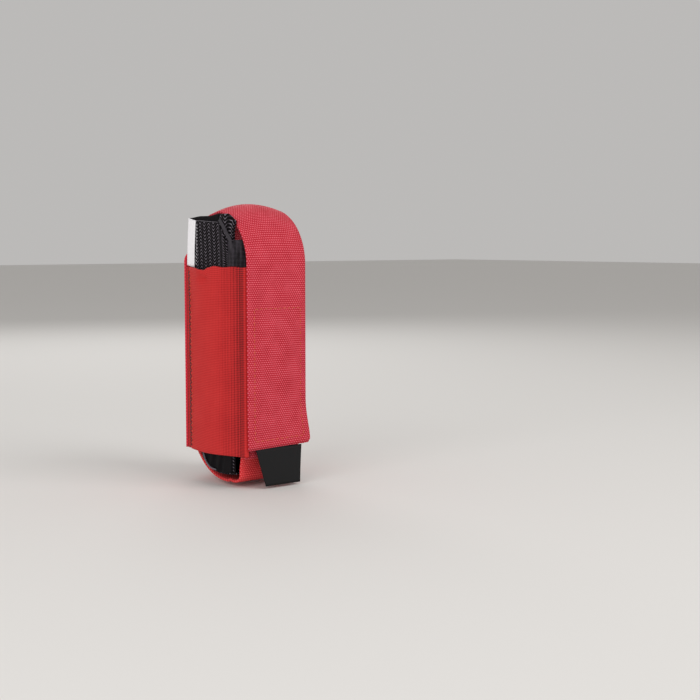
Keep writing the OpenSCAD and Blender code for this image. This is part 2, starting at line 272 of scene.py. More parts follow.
class Weave:
    """A material whose pattern is worked out from the piece's flat map, in millimetres."""

    def __init__(self, name, base, roughness, mapped=True):
        self.material = bpy.data.materials.new(name)
        self.material.use_nodes = True
        self.nodes = self.material.node_tree.nodes
        self.links = self.material.node_tree.links
        self.shader = self.nodes["Principled BSDF"]
        self.shader.inputs["Base Color"].default_value = colour(base)
        self.shader.inputs["Roughness"].default_value = roughness
        if mapped:
            flat = self.nodes.new("ShaderNodeUVMap")
            flat.uv_map = "cloth"
            self.place = self.scale(flat.outputs["UV"], 1 / MM)
        else:
            solid = self.nodes.new("ShaderNodeTexCoord")
            self.place = self.scale(solid.outputs["Object"], 1 / MM)
        split = self.nodes.new("ShaderNodeSeparateXYZ")
        self.links.new(self.place, split.inputs[0])
        self.x, self.y, self.z = split.outputs

    def scale(self, socket, factor):
        node = self.nodes.new("ShaderNodeVectorMath")
        node.operation = "SCALE"
        self.links.new(socket, node.inputs[0])
        node.inputs["Scale"].default_value = factor
        return node.outputs[0]

    def maths(self, operation, *values):
        node = self.nodes.new("ShaderNodeMath")
        node.operation = operation
        for socket, value in zip(node.inputs, values):
            if isinstance(value, (int, float)):
                socket.default_value = value
            else:
                self.links.new(value, socket)
        return node.outputs[0]

    def wave(self, along, pitch, phase=0.0):
        """A cosine along one direction, from -1 to 1."""
        turn = self.maths("MULTIPLY_ADD", along, 2 * math.pi / pitch, phase)
        return self.maths("COSINE", turn)

    def sum(self, *parts):
        """Parts are (socket, weight) pairs."""
        total = self.maths("MULTIPLY", *parts[0])
        for socket, weight in parts[1:]:
            total = self.maths("MULTIPLY_ADD", socket, weight, total)
        return total

    def noise(self, size, detail=3.0, stretch=None):
        """Noise whose spots are about size millimetres across, from 0 to 1."""
        node = self.nodes.new("ShaderNodeTexNoise")
        node.inputs["Scale"].default_value = 1 / size
        node.inputs["Detail"].default_value = detail
        place = self.place
        if stretch:
            mapping = self.nodes.new("ShaderNodeMapping")
            mapping.inputs["Scale"].default_value = stretch
            self.links.new(place, mapping.inputs["Vector"])
            place = mapping.outputs[0]
        self.links.new(place, node.inputs["Vector"])
        return node.outputs["Fac"]

    def ramp(self, socket, stops):
        """Colours along a factor: stops are (position, hex code) pairs."""
        node = self.nodes.new("ShaderNodeValToRGB")
        self.links.new(socket, node.inputs[0])
        elements = node.color_ramp.elements
        while len(elements) < len(stops):
            elements.new(0.5)
        for element, (position, code) in zip(elements, stops):
            element.position = position
            element.color = colour(code)
        return node.outputs["Color"]

    def paint(self, socket):
        self.links.new(socket, self.shader.inputs["Base Color"])
        return self

    def rough(self, socket, low, high):
        spread = self.maths("MULTIPLY_ADD", socket, high - low, low)
        self.links.new(spread, self.shader.inputs["Roughness"])
        return self

    def emboss(self, socket, height, strength=0.8):
        """Height is the relief in millimetres from factor 0 to factor 1."""
        node = self.nodes.new("ShaderNodeBump")
        node.inputs["Strength"].default_value = strength
        node.inputs["Distance"].default_value = height * MM
        self.links.new(socket, node.inputs["Height"])
        self.links.new(node.outputs[0], self.shader.inputs["Normal"])
        return self

    def gloss(self, sheen=0.0, tint="#ffffff", sheen_rough=0.5, specular=0.5):
        self.shader.inputs["Sheen Weight"].default_value = sheen
        self.shader.inputs["Sheen Tint"].default_value = colour(tint)
        self.shader.inputs["Sheen Roughness"].default_value = sheen_rough
        self.shader.inputs["Specular IOR Level"].default_value = specular
        return self


def coarse_webbing(name, stops, sheen, tint):
    """Heavy webbing: rows of short weft floats, each row shifted by half a float."""
    m = Weave(name, stops[1][1], 0.75)
    floats = m.maths("MULTIPLY", m.wave(m.x, 1.45), m.wave(m.y, 2.3))
    rows = m.wave(m.y, 1.15)
    height = m.sum((floats, 0.26), (rows, 0.22), (m.noise(0.5), 0.25))
    height = m.maths("ADD", height, 0.38)
    blotch = m.noise(9.0, 2.0)
    tone = m.maths("ADD", height, m.maths("MULTIPLY_ADD", blotch, 0.3, -0.15))
    m.paint(m.ramp(tone, stops)).emboss(height, 0.35, 0.9).rough(height, 0.85, 0.6)
    return m.gloss(sheen, tint, 0.45, 0.3).material


ELASTIC_MAP = 80.0          # the elastic's length is divided by this for the stops below


def ribbed_elastic():
    """Fine ribs across the strip, and upright ribs that deepen by its two sewn edges, where painted shade
    also darkens them.
    """
    m = Weave("red_elastic_weave", "#c42a2a", 0.7)
    along = m.maths("DIVIDE", m.y, ELASTIC_MAP)
    rib_depth_and_shade = m.ramp(along, [(0.10, "#ffffff"), (0.135, "#ffffff"), (0.16, "#303030"), (0.2, "#000000"),
                           (0.52, "#000000"), (0.66, "#bcbcbc"), (0.765, "#ffffff"), (0.785, "#202020")])
    # painted shade in the last groove, and where the strip turns in under the flap
    groove_shade = m.ramp(along, [(0.768, "#000000"), (0.782, "#ffffff"), (0.797, "#000000"), (0.811, "#000000"),
                             (0.821, "#ffffff")])
    ribs = m.wave(m.x, 0.95)
    columns = m.wave(m.y, 1.3)
    deep_ribs = m.maths("MULTIPLY", m.wave(m.y, 2.3), rib_depth_and_shade)
    height = m.sum((ribs, 0.2), (columns, 0.1), (deep_ribs, 0.22), (m.noise(0.4), 0.2))
    height = m.maths("ADD", height, 0.45)
    blotch = m.noise(14.0, 2.0)
    # painted shade: darker in the rib bands by the sewn edges, in the last groove and in the tuck under the
    # flap
    tone = m.sum((height, 0.8), (blotch, 0.25), (rib_depth_and_shade, -0.3), (groove_shade, -0.45))
    m.paint(m.ramp(tone, [(0.0, "#5a0a10"), (0.38, "#b81d20"), (0.85, "#d43634")]))
    return m.emboss(height, 0.22, 0.8).rough(height, 0.8, 0.65).gloss(0.05, "#ff8070", 0.5, 0.25).material


def plain_cloth(name, stops):
    """Plain pack cloth, a square grid of threads."""
    m = Weave(name, stops[1][1], 0.8)
    grid = m.maths("MULTIPLY", m.wave(m.x, 1.8), m.wave(m.y, 1.8))
    height = m.maths("ADD", m.sum((grid, 0.3), (m.noise(0.6), 0.35)), 0.35)
    m.paint(m.ramp(height, stops)).emboss(height, 0.2).rough(height, 0.8, 0.65)
    return m.gloss(0.1, "#ffffff", 0.5, 0.3).material


def herringbone(name):
    """Black band: columns of slanting floats that turn at each spine."""
    m = Weave(name, "#1a1518", 0.55)
    spine = m.maths("PINGPONG", m.x, 4.4)
    slant = m.maths("MULTIPLY_ADD", spine, 0.85, m.y)
    floats = m.wave(slant, 1.85)
    ridge = m.maths("POWER", m.maths("MULTIPLY_ADD", floats, 0.5, 0.5), 3.0)
    bright = m.maths("MULTIPLY_ADD", m.wave(m.x, 4.4), 0.25, 0.75)
    height = m.sum((m.maths("MULTIPLY", ridge, bright), 0.8), (m.noise(0.45), 0.3))
    m.paint(m.ramp(height, [(0.15, "#030203"), (0.5, "#151115"), (0.98, "#948b97")]))
    return m.emboss(height, 0.45, 1.0).rough(height, 0.85, 0.5).gloss(0.0, "#c8b8d8", 0.4, 0.12).material


def smooth_tape(name, stops, rough=0.6, depth=0.08, specular=0.25, streaks=(1.0, 0.25, 1.0)):
    """Flat tape with a hardly visible weave. Its streaks are long where their scale is small."""
    m = Weave(name, stops[1][1], rough)
    height = m.sum((m.wave(m.x, 0.7), 0.15), (m.noise(0.7, 3.0, streaks), 0.6))
    height = m.maths("ADD", height, 0.2)
    m.paint(m.ramp(height, stops)).emboss(height, depth).rough(height, rough + 0.1, rough - 0.1)
    return m.gloss(0.02, "#ffffff", 0.5, specular).material


def coated_fabric(name):
    """Rubbery coated cloth: nearly smooth, with a faint grain."""
    m = Weave(name, "#262627", 0.62)
    grain = m.noise(0.35, 4.0)
    blotch = m.noise(7.0, 2.0)
    height = m.sum((grain, 0.7), (blotch, 0.3))
    m.paint(m.ramp(height, [(0.2, "#131314"), (0.5, "#19191a"), (0.85, "#202021")]))
    return m.emboss(height, 0.05, 0.6).rough(blotch, 0.6, 0.8).gloss(0.0, "#ffffff", 0.5, 0.2).material


def hook_tape(name):
    """Rows of tiny hooks."""
    m = Weave(name, "#1a181a", 0.6)
    dots = m.maths("MULTIPLY", m.wave(m.x, 1.1), m.wave(m.y, 1.6))
    height = m.maths("ADD", m.sum((dots, 0.4), (m.noise(0.5), 0.3)), 0.35)
    m.paint(m.ramp(height, [(0.2, "#0c0b0c"), (0.6, "#211e20"), (0.95, "#3a363a")]))
    return m.emboss(height, 0.5, 1.0).rough(height, 0.7, 0.45).material


def loop_pile(name, stops):
    """Soft loop pile, a fuzzy uneven surface."""
    m = Weave(name, stops[1][1], 0.95)
    height = m.sum((m.noise(0.5, 5.0), 0.6), (m.noise(2.2, 2.0), 0.4))
    m.paint(m.ramp(height, stops)).emboss(height, 0.6, 1.0)
    return m.gloss(0.4, stops[2][1], 0.6, 0.2).material


def moulded(name, base, light, rough=0.5):
    """Satin moulded plastic with a fine spark texture and rubbed high spots."""
    m = Weave(name, base, rough, mapped=False)
    grain = m.noise(0.3, 3.0)
    wear = m.noise(6.0, 3.0)
    m.paint(m.ramp(wear, [(0.35, base), (0.75, light)]))
    return m.emboss(grain, 0.06, 0.5).rough(wear, rough - 0.08, rough + 0.12).material


def snap_metal(name):
    """Blackened metal, rubbed a little bright in places."""
    m = Weave(name, "#2a292b", 0.35, mapped=False)
    wear = m.noise(2.5, 4.0)
    m.paint(m.ramp(wear, [(0.4, "#1f1e20"), (0.8, "#4b494d")]))
    m.shader.inputs["Metallic"].default_value = 0.85
    return m.emboss(m.noise(0.4), 0.03, 0.4).rough(wear, 0.45, 0.25).material


def sewing_thread(name, dark, light):
    """Twisted thread: slanting plies along each stitch."""
    m = Weave(name, light, 0.6)
    twist = m.wave(m.sum((m.x, 1.0), (m.y, 0.6)), 0.35)
    height = m.maths("MULTIPLY_ADD", twist, 0.5, 0.5)
    m.paint(m.ramp(height, [(0.1, dark), (0.9, light)]))
    return m.emboss(height, 0.06, 0.8).gloss(0.1, "#ffffff", 0.5, 0.4).material


RED_WEBBING = coarse_webbing(
    "red_webbing_weave", [(0.14, "#94081a"), (0.42, "#c0182b"), (0.86, "#e26474")], 0.06, "#ff8f98")
# The loop's webbing: redder than the flap's for its own weave, and brighter as painted light to offset the
# shade under the flap
LOOP_WEBBING_BRIGHTENED = coarse_webbing(
    "red_loop_weave_brightened", [(0.14, "#aa101c"), (0.45, "#dc2a30"), (0.88, "#f06060")], 0.05, "#ff8f80")
BLACK_WEBBING = coarse_webbing(
    "black_webbing_weave", [(0.15, "#0d0b0d"), (0.5, "#1d1a1d"), (0.9, "#3a363b")], 0.1, "#a098a8")
RED_PANEL = plain_cloth("red_panel_cloth", [(0.1, "#b00c24"), (0.5, "#d41a32"), (0.9, "#e64a58")])
RED_ELASTIC = ribbed_elastic()
HERRINGBONE = herringbone("black_band_weave")
GREY_TAPE = smooth_tape("grey_tape_weave", [(0.2, "#242226"), (0.5, "#343036"), (0.85, "#4a464d")])
# near-black sheet material: painted shade for shadowed gaps in the band's folds
SHADE_SHEET = smooth_tape(
    "black_shade_sheet_weave", [(0.2, "#030203"), (0.5, "#0a080b"), (0.85, "#17141a")], 0.5, 0.15, 0.05)
BLACK_TAPE = smooth_tape(
    "black_tape_weave", [(0.34, "#070507"), (0.5, "#19151a"), (0.66, "#4a444d")], 0.6, 0.5, 0.2,
    streaks=(0.07, 0.5, 1.0))
WHITE_STRIP = smooth_tape(
    "white_strip_weave", [(0.1, "#e4e2e6"), (0.5, "#f4f2f6"), (0.9, "#ffffff")], 0.7, 0.12)
COATED = coated_fabric("coated_tab_cloth")
HOOKS = hook_tape("hook_patch_pile")
LOOPS = loop_pile("loop_patch_pile", [(0.2, "#8a0f18"), (0.5, "#b51d26"), (0.85, "#d84a4c")])
PLASTIC = moulded("black_plastic_satin", "#19181a", "#2b2a2d")
CLIP_GREY = moulded("clip_plastic_satin", "#232225", "#37363a", 0.55)
METAL = snap_metal("snap_blackened")
RED_THREAD = sewing_thread("red_thread", "#8c0c1c", "#e0455a")
WARM_THREAD = sewing_thread("warm_red_thread", "#b02a18", "#f0784e")
DARK_THREAD = sewing_thread("dark_red_thread", "#2a060a", "#6a1018")
WHITE_THREAD = sewing_thread("white_thread", "#b8b4bc", "#f6f4f8")
GREY_THREAD = sewing_thread("grey_thread", "#4a444c", "#7a727c")

# ---- Putting pieces on the frame ----


def settle(piece, body, slot, *nodes):
    """The piece rides on a body and stands for the CAD nodes named. slot is not used."""
    if body:
        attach(piece, body)
    if nodes:
        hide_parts(*nodes)
    return piece


# ---- Flap: one strip in three pieces, which meet on the arch ----

FLAP_MID_R = ARCH_R - WEB_T / 2
CUT_REAR = 38       # angles on the arch, from its rear end, where the strip's pieces meet
CUT_CROWN = 92.5


def arch_point(angle, radius=FLAP_MID_R):
    a = math.radians(angle)
    return Vector((0, ARCH_Y + radius * math.cos(a), ARCH_Z + radius * math.sin(a)))


def arch_run(a0, a1, step=2.0):
    count = round((a1 - a0) / step)
    return [arch_point(a0 + (a1 - a0) * i / count) for i in range(count + 1)]


def flap_warp(at, x, run):
    """The flap domes over the windlass, its rear left edge sinks, and its lower right corner flares."""
    side = at.x / (FLAP_W / 2)
    right, left = max(0.0, side), max(0.0, -side)
    rise = max(0.0, (at.z - ARCH_Z) / ARCH_R)
    dome = (0.55 + 0.45 * side + 3.9 * (1 - side * side)) * rise ** 1.6
    dome -= 1.0 * left * rise * smooth(ARCH_Y - 3, ARCH_Y + 6, at.y)
    at = at + Vector((0, 0, dome))
    if at.y < ARCH_Y:
        # the front bulges a little between the corner and the hem
        belly = math.sin(math.pi * smooth(FLAP_LOW, ARCH_Z, at.z))
        at.y -= 0.7 * belly * (1 - side * side)
        low = smooth(FLAP_LOW + 26, FLAP_LOW, at.z)
        at.x += 2.4 * low * right + 0.3 * low
        at.x -= 1.6 * right ** 6 * smooth(FLAP_LOW + 2.6, FLAP_LOW, at.z) ** 2
        at.y -= 0.7 * low * low * right
        at.z += 0.65 * low * low * side
    return at


root_path = joined(upright(0, TAIL_BACK - WEB_T / 2, ROOT_LOW, ARCH_Z, 2.0), arch_run(0, CUT_REAR))
crown_path = arch_run(CUT_REAR, CUT_CROWN)
front_path = joined(arch_run(CUT_CROWN, 180),
                    upright(0, FRONT + WEB_T / 2, ARCH_Z, FLAP_LOW, 2.0))
PIECE_RUNS = [0.0, lengths(root_path)[-1]]
PIECE_RUNS.append(PIECE_RUNS[1] + lengths(crown_path)[-1])

for name, path, begin, body_a, body_b, angle_a, angle_b in (
    ("flap_root_cloth", root_path, PIECE_RUNS[0], "pouch", "flap_rear", 6, 26),
    ("flap_crown_cloth", crown_path, PIECE_RUNS[1], "flap_rear", "flap_crown", 44, 76),
    ("flap_front_cloth", front_path, PIECE_RUNS[2], "flap_crown", "flap_front", 103, 147),
):
    piece = ribbon(name, path, (-1, 0, 0), FLAP_W, WEB_T, RED_WEBBING, 20, flap_warp, begin)
    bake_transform(piece)
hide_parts("flap_root", "flap_rear_span")
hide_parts("flap_crown_span")
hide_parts("flap_front_span")


def flap_face(x, z):
    """A point on the flap's outer face, on its straight front."""
    at = flap_warp(Vector((x, FRONT + WEB_T / 2, z)), x, 0)
    return at + Vector((0, -WEB_T / 2, 0))


PATCH_X = corner("flap_hook_patch", 1).x - 0.5
PATCH_TOP = corner("flap_hook_patch", 1).z + 1
PATCH_LOW = corner("flap_hook_patch", 0).z + 1
corners = [(-PATCH_X, PATCH_TOP), (PATCH_X, PATCH_TOP), (PATCH_X, PATCH_LOW), (-PATCH_X, PATCH_LOW)]
seam = []
for (x0, z0), (x1, z1) in zip(corners, corners[1:] + corners[:1]):
    edge = straight(Vector((x0, 0, z0)), Vector((x1, 0, z1)), 3.0)
    seam += stitch_lines([flap_face(p.x, p.z) for p in edge], (0, -1, 0), 2.2, 0.9, 0.16)
settle(tubes("flap_patch_stitching", seam, 0.2, WARM_THREAD), "flap_front", "thread")

PATCH_T = 0.8
patch_low, patch_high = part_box("flap_hook_patch")
patch_y = (patch_low.y + patch_high.y) / 2 / MM
patch_span = (patch_high.x - patch_low.x) / MM
hook_path = upright(0, patch_y, patch_low.z / MM, patch_high.z / MM, 4.0)
hooks = ribbon("flap_hook_patch_tape", hook_path, (1, 0, 0), patch_span, PATCH_T, HOOKS, 12)
settle(hooks, "flap_front", "hook_patch", "flap_hook_patch")

# ---- Pull tab ----

tab_low, tab_high = box("pull_tab")
TAB_TOP_W = 31.0
TAB_END_W = 23.5
TAB_SHIFT = 1.2     # centre of the tab at its top
TAB_SLANT = 2.4     # how far the centre moves towards +X by the end
tab_run = tab_high.z - tab_low.z


def tab_width(run):
    share = min(1.0, run / tab_run)
    return TAB_TOP_W + (TAB_END_W - TAB_TOP_W) * share


def tab_warp(at, x, run):
    """The tab leans a little away from the loop and its free end curls outwards."""
    share = run / tab_run
    at = at + Vector((TAB_SHIFT + TAB_SLANT * share, 0, 0))
    at.y -= 0.5 * share * share + 0.25 * math.cos(x / TAB_END_W * math.pi) * share
    return at


tab_y = (tab_low.y + tab_high.y) / 2
tab_path = upright(0, tab_y, tab_high.z, tab_low.z, 1.5)
tab = ribbon("pull_tab_cloth", tab_path, (1, 0, 0), tab_width, 1.1, COATED, 16, tab_warp)
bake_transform(tab)
settle(tab, None, "coated_tab", "pull_tab")

# ---- Elastic side panels ----

SIDE_FRONT = corner("left_elastic_panel", 0).y
SIDE_BACK = corner("left_elastic_panel", 1).y
ELASTIC_T = 1.4
POUCH_W = 40.0
ELASTIC_X = POUCH_W / 2 + ELASTIC_T / 2
ELASTIC_BOW = 4.0
SIDE_MID = (SIDE_FRONT + SIDE_BACK) / 2
SIDE_HALF = (SIDE_BACK - SIDE_FRONT) / 2


def elastic_wall(y):
    """How far out the bowed wall's middle stands."""
    share = (y - SIDE_MID) / SIDE_HALF
    return ELASTIC_X + ELASTIC_BOW * max(0.0, 1 - share * share)


def elastic_line(side):
    """The panel's outline from above: rear flange, bowed wall, and a fold round the front panel's edge."""
    rear, front = SIDE_BACK - 0.6, SIDE_FRONT + 0.6
    line = [Vector((side * x, rear, 0)) for x in (14.0, 16.5, 19.0)]
    line.append(Vector((side * (ELASTIC_X - 0.25), rear - 0.35, 0)))
    count = 52
    for i in range(1, count + 1):
        y = rear + (front - rear) * i / count
        line.append(Vector((side * elastic_wall(y), y, 0)))
    line += [Vector((side * (ELASTIC_X + x), SIDE_FRONT - y, 0)) for x, y in (
        (0.1, 0.6), (0.1, 1.4), (-0.25, 2.2), (-0.9, 2.65), (-2.0, 2.75), (-3.2, 2.75))]
    return line


GROOVES = (-43.5, -46.5, -49.3, -51.8, -54.1, -56.3)
# How far the top edge hangs below the panel's height, from the back towards the front
LEFT_RIM = ((-1.0, -0.4), (-10.0, -0.1), (-19.0, 0.2), (-25.6, 1.0), (-29.6, 1.2), (-32.2, -0.2),
            (-36.8, -1.1), (-43.5, -0.5), (-51.0, -0.9), (-58.0, -0.6))
RIGHT_RIM = ((-1.0, 1.0), (-15.0, 1.6), (-30.0, 1.9), (-45.0, 0.8), (-58.0, 0.0))


def elastic_warp(side):
    def warp(at, x, run):
        """The band pushes the rim out, a fold tucks in below it, and grooves run down near the front."""
        at = Vector(at)
        out = 0.0
        height = at.z / PANEL_H
        near_top = smooth(0.35, 1.0, height)
        top_edge = smooth(0.84, 1.0, height)
        foot = smooth(-0.84, -1.0, height)
        if abs(at.x) > ELASTIC_X - 0.6:
            if side < 0:
                out += 1.5 * hump(at.y, -24, 13) * near_top
                out += 1.1 * hump(at.y, -25, 6.5) * top_edge
                out -= 1.9 * hump(at.y, -28, 4.6) * hump(at.z, PANEL_H - 6.0, 2.0)
            for groove in GROOVES:
                out -= 0.4 * hump(at.y, groove, 0.7)
            out -= 0.8 * hump(at.y, -6.4, 1.2)
            out += 0.35 * math.sin(at.z / 9.0) * hump(at.y, SIDE_MID, 18) * (1 - abs(height))
        at.z -= profile(LEFT_RIM if side < 0 else RIGHT_RIM, at.y) * top_edge
        at.z += (1.0 if side < 0 else 5.2) * foot * smooth(-22, -57, at.y)
        at.x += side * out
        return at
    return warp


for label, side in (("left", -1), ("right", 1)):
    line = elastic_line(side)
    panel = ribbon(label + "_elastic_cloth", line, (0, 0, side), 2 * PANEL_H, ELASTIC_T, RED_ELASTIC, 60,
                   elastic_warp(side))
    settle(panel, "pouch", "red_elastic", label + "_elastic_panel")

# ---- Front and back panels ----

front_low, front_high = box("front_panel")
front_y = (front_low.y + front_high.y) / 2


def front_warp(at, x, run):
    """The panel bows a little inwards, and its lower right corner is drawn up behind the flap."""
    side = at.x / (WEB_W / 2)
    foot = smooth(front_low.z + 9, front_low.z, at.z)
    return at + Vector((0, 0.35 * (1 - side * side), 5.2 * foot * smooth(0.1, 1.0, side)))


panel_path = upright(0, front_y, front_low.z, front_high.z, 3.0)
front_cloth = ribbon("front_panel_cloth", panel_path, (1, 0, 0), WEB_W, WEB_T, RED_WEBBING, 16, front_warp)
settle(front_cloth, "pouch", "red_webbing", "front_panel")

loop_low, loop_high = box("front_loop_patch")
loop_y = (loop_low.y + loop_high.y) / 2
pile_path = upright(0, loop_y, loop_low.z, loop_high.z, 3.0)
loop_span = loop_high.x - loop_low.x
pile = ribbon("front_loop_patch_pile", pile_path, (1, 0, 0), loop_span, PATCH_T, LOOPS, 12)
settle(pile, "pouch", "loop_pile", "front_loop_patch")

back_low, back_high = box("back_panel")
BACK_CORNER = 6.0


def back_width(run):
    """The back panel narrows in round corners at its top."""
    over = run - (back_high.z - back_low.z - BACK_CORNER)
    if over <= 0:
        return BACK_W
    return BACK_W - 2 * (BACK_CORNER - math.sqrt(max(0.0, BACK_CORNER ** 2 - over ** 2)))


back_y = (back_low.y + back_high.y) / 2
back_path = joined(upright(0, back_y, back_low.z, back_high.z - BACK_CORNER, 2.5),
                   upright(0, back_y, back_high.z - BACK_CORNER, back_high.z, 0.5))
back_cloth = ribbon("back_panel_cloth", back_path, (1, 0, 0), back_width, 1.8, RED_PANEL, 20)
settle(back_cloth, "pouch", "red_panel", "back_panel")

# ---- Bottom loop ----

loop_points = [Vector((0, y, z)) for y, z in (
    (-4.0, -42), (-4.6, -47.5), (-9.2, -53.6), (-16.0, -59.8), (-22.4, -63.3), (-29.4, -65.5), (-37, -66.2),
    (-44.5, -65.9), (-49.2, -65.0), (-51.4, -62.6), (-51.8, -57.5), (-53.4, -50), (-55.3, -43))]
loop_path = curve_through(loop_points, 6)


def loop_warp(at, x, run):
    """The loop sags a little more at its edges, and its left edge is pinched up in one place."""
    side = x / (WEB_W / 2)
    sag = 0.3 * side * side * hump(at.y, -36, 14)
    pinch = 1.1 * smooth(-0.75, -1.0, side) * hump(at.y, -41.5, 1.3) * smooth(-58, -62, at.z)
    return at + Vector((0, 0, pinch - sag))


# the loop's webbing is brightened as painted light against the shade under the flap
loop_cloth = ribbon("bottom_loop_cloth", loop_path, (1, 0, 0), WEB_W, WEB_T, LOOP_WEBBING_BRIGHTENED, 16, loop_warp)
settle(loop_cloth, "pouch", "red_webbing", "bottom_loop")

# ---- Carrier row, strap and snap on the back ----

row_low, row_high = box("grid_webbing")
row_mid = (row_low.z + row_high.z) / 2
row_points = [Vector((x, y, row_mid)) for x, y in (
    (-20, 0.5), (-17, 0.5), (-14.6, 0.7), (-13.4, 1.5), (-12.4, 2.3), (-10, 2.35), (0, 2.35), (10, 2.35),
    (12.4, 2.3), (13.4, 1.5), (14.6, 0.7), (17, 0.5), (20, 0.5))]
row_path = curve_through(row_points, 4)
row = ribbon("grid_webbing_cloth", row_path, (0, 0, 1), row_high.z - row_low.z, 0.9, LOOP_WEBBING_BRIGHTENED, 16)
settle(row, "pouch", "red_panel", "grid_webbing")

STRAP_W = corner("carrier_strap_upper", 1).x * 2
STRAP_T = 1.2
strap_levels = [Vector((0, y + STRAP_T / 2, z)) for y, z in (
    (0, 58.3), (0, 52), (0, 45.2), (0.5, 43.6), (1.6, 42.1), (2, 40.5), (2, 31), (2, 20.6), (1.5, 18.8),
    (0.6, 17.4), (0.25, 15.8), (0.2, 5), (0.25, -5.6), (0.8, -7.2), (1.8, -8.6))]
upper_path = curve_through(strap_levels, 4)
upper = ribbon("carrier_strap_upper_web", upper_path, (-1, 0, 0), STRAP_W, STRAP_T, BLACK_WEBBING, 14)
settle(upper, "pouch", "black_webbing", "carrier_strap_upper")

tail_low, tail_high = box("carrier_strap_tail")
tail_y = (tail_low.y + tail_high.y) / 2
tail_len = tail_high.z - tail_low.z
strap_r = STRAP_W / 2


def tail_width(run):
    """The tail ends in a half round."""
    left = tail_len - run
    if left >= strap_r:
        return STRAP_W
    return max(2.0, 2 * math.sqrt(max(0.0, strap_r ** 2 - (strap_r - left) ** 2)))


tail_path = joined(upright(0, tail_y, tail_high.z, tail_low.z + strap_r, 2.5),
                   upright(0, tail_y, tail_low.z + strap_r, tail_low.z, 0.6))
tail = ribbon("carrier_strap_tail_web", tail_path, (-1, 0, 0), tail_width, 1.9, BLACK_WEBBING, 14)
settle(tail, "strap_tail", "black_webbing", "carrier_strap_tail", "strap_stiffener")

# ---- Tourniquet: the folded band ----

BAND_T = 0.9
BAND_Y = (BAND_REAR + BAND_FRONT) / 2
BAND_W = BAND_REAR - BAND_FRONT
STACK_TOP = 60.0
runs_x = [LOBE_X + BAND_T / 2, LOBE_X + BAND_T / 2 + 1.1]
runs_x += [-17.3 + 1.8 * i for i in range(4)]
runs_x += [15.6 + 2.16 * i for i in range(2)]


def band_path():
    """The band's middle line seen from the front: up and down, with a half turn at each fold."""
    tops = [BAND_TOP - 0.5, STACK_TOP - 0.5, STACK_TOP - 0.5, STACK_TOP - 0.5]
    line = []
    for pair in range(4):
        x0, x1 = runs_x[2 * pair], runs_x[2 * pair + 1]
        turn = (x1 - x0) / 2
        top = tops[pair] - turn
        low = BAND_LOW - 0.5
        line += upright(x0, BAND_Y, low, top, 3.0)
        for k in range(1, 8):
            a = math.pi * k / 8
            line.append(Vector((x0 + turn - turn * math.cos(a), BAND_Y, top + turn * math.sin(a))))
        line += upright(x1, BAND_Y, top, low, 3.0)
        if pair < 3:
            across = runs_x[2 * pair + 2] - x1
            drop = min(1.0, across / 2)
            for k in range(1, 8):
                a = math.pi * k / 8
                line.append(Vector((x1 + across / 2 - across / 2 * math.cos(a), BAND_Y,
                                    low - drop * math.sin(a))))
    return line


# How far the tall fold's top edge rises above its usual height, from the back towards the front
FOLD_RISE = ((-8.0, 0.5), (-20.0, 1.4), (-27.0, 1.4), (-41.0, 2.7), (-45.0, 2.7), (-49.4, -1.3))
BOTTOM = -61.8      # lowest the folds reach inside the bottom loop


def band_warp(at, x, run):
    """The lowest folds sit in the round bottom loop, and the tall fold ends in a soft roll at its front."""
    at = Vector(at)
    if at.z < -40:
        if at.y > -33:
            floor_z = BOTTOM + 18.3 - math.sqrt(max(0.0, 18.3 ** 2 - (at.y + 33) ** 2))
        else:
            floor_z = BOTTOM + 0.006 * (at.y + 33) ** 2
        room = (-40 - floor_z) / (-40 - BAND_LOW + 0.5)
        at.z = -40 + (at.z + 40) * room
    if at.x < -19.0 and at.z > 56:
        high = smooth(56, BAND_TOP, at.z)
        outer = smooth(-19.2, -20.5, at.x)
        front = smooth(-40, -49.4, at.y)
        z = at.z
        at.z += high * (0.3 + 0.7 * outer) * profile(FOLD_RISE, at.y)
        at.x -= 0.35 * high + 0.9 * high * hump(at.y, -44, 5)
        at.y += 3.4 * high * smooth(-16, -11.4, at.y) - front * (1.3 * high + 1.8 * hump(z, 78.0, 2.6))
    return at


band_line = band_path()
band = ribbon("main_band_cloth", band_line, (0, 1, 0), BAND_W, BAND_T, HERRINGBONE, 30, band_warp)
settle(band, "tourniquet", "black_band", "main_band")

# ---- Tourniquet: hard parts keep their CAD shapes, with softened edges ----


def harden(node, material, bevel):
    """A CAD node gets its material, and its sharp edges are rounded."""
    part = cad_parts[node]
    part.data.materials.clear()
    part.data.materials.append(material)
    weld = part.modifiers.new("weld", "WELD")
    weld.merge_threshold = 0.01 * MM
    soft = part.modifiers.new("round", "BEVEL")
    soft.width = bevel * MM
    soft.segments = 3
    soft.limit_method = "ANGLE"
    soft.angle_limit = math.radians(35)
    soft.harden_normals = False


harden("windlass_clip", CLIP_GREY, 0.5)
harden("windlass_rod", PLASTIC, 0.2)
harden("base_plate", PLASTIC, 0.4)
harden("buckle", PLASTIC, 0.5)
for name in ("snap_stud", "snap_post", "snap_socket", "snap_cap"):
    harden(name, METAL, 0.12)

# ---- Tourniquet: strips on the outer fold ----

OUTER_X = LOBE_X - 0.35
strip_low, strip_high = box("time_strap")
strip_x = (strip_low.x + strip_high.x) / 2
strip_w = strip_high.y - strip_low.y
strip_mid = (strip_low.y + strip_high.y) / 2

# where the strip's corners lie: low rear, low front, high rear, high front
STRIP_CORNERS = [Vector(p) for p in ((-22.3, -4.4, 53.2), (-22.4, -12.8, 51.8),
                                     (-22.8, -7.2, 79.6), (-23.1, -15.7, 78.1))]


